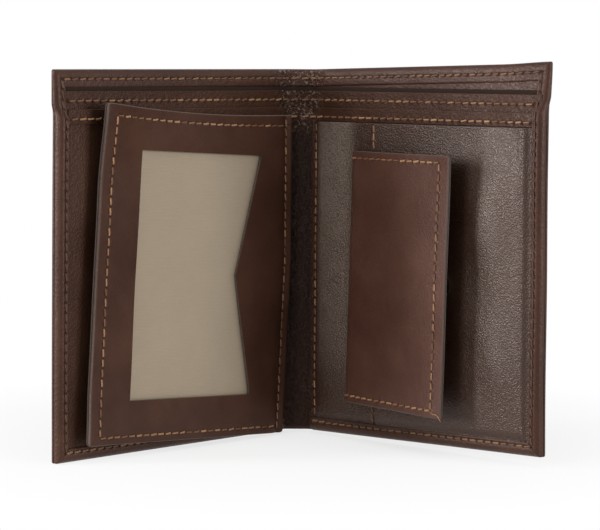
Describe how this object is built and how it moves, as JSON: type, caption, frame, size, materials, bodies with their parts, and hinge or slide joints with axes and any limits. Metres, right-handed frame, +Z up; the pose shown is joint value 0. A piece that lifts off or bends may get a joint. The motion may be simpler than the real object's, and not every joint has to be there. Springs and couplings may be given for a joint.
{
  "type": "bifold wallet",
  "caption": "Brown leather bifold wallet standing open, with note pockets across both covers, a hinged window leaf on the left and a coin pocket with a flap on the right.",
  "frame": {"origin": "middle of the spine's shell leather, on its lower edge, at floor height", "axes": "+Z up along the spine, +X to the right seen from the open side, -Y out of the wallet's mouth"},
  "size_m": [0.1496, 0.0703, 0.12],
  "materials": {
    "shell_leather": "satin",
    "inner_leather": "satin",
    "flap_leather": "satin",
    "lining_cloth": "matte",
    "window_twill": "matte",
    "stiffening_board": "matte",
    "thread": "matte",
    "stud_brass": "satin"
  },
  "bodies": {
    "spine": {"shell_spine": "shell_leather", "lining_spine": "lining_cloth", "divider_spine": "inner_leather", "panel_spine": "inner_leather", "seams_spine": "thread"},
    "left_cover": {"shell_left": "shell_leather", "board_left": "stiffening_board", "lining_left": "lining_cloth", "divider_left": "inner_leather", "panel_left": "inner_leather", "seam_top_left": "thread", "seam_divider_left": "thread", "seam_panel_left": "thread", "seam_edge_left": "thread", "leaf_root": "flap_leather", "seam_leaf_root": "thread"},
    "right_cover": {"shell_right": "shell_leather", "board_right": "stiffening_board", "lining_right": "lining_cloth", "divider_right": "inner_leather", "panel_right": "inner_leather", "seam_top_right": "thread", "seam_divider_right": "thread", "seam_panel_right": "thread", "seam_edge_right": "thread", "coin_back": "inner_leather", "coin_gusset": "lining_cloth", "coin_front": "inner_leather", "seam_coin_back": "thread", "seam_coin_mouth": "thread", "flap_root": "flap_leather", "stud_post": "stud_brass"},
    "window_leaf": {"leaf_front": "flap_leather", "leaf_twill": "window_twill", "leaf_back": "flap_leather", "seam_leaf": "thread"},
    "coin_flap": {"flap_leather": "flap_leather", "flap_lining": "lining_cloth", "stud_cap": "stud_brass", "stud_socket": "stud_brass", "seam_flap": "thread"}
  },
  "joints": [
    {"name": "left_fold", "type": "hinge", "parent": "spine", "child": "left_cover", "pos_m": [-0.005, 0.0005, 0], "axis": [0, 0, 1], "range_deg": [-44, 31]},
    {"name": "right_fold", "type": "hinge", "parent": "spine", "child": "right_cover", "pos_m": [0.005, 0.0005, 0], "axis": [0, 0, -1], "range_deg": [-44, 31]},
    {"name": "leaf_swing", "type": "hinge", "parent": "left_cover", "child": "window_leaf", "pos_m": [-0.00698, -0.00885, 0.0005], "axis": [0.0251, 0.0242, 0.9994], "range_deg": [-1.5, 13.5]},
    {"name": "flap_lift", "type": "hinge", "parent": "right_cover", "child": "coin_flap", "pos_m": [0.01613, -0.01849, 0.012], "axis": [0, 0, -1], "range_deg": [-5.8, 8]}
  ]
}
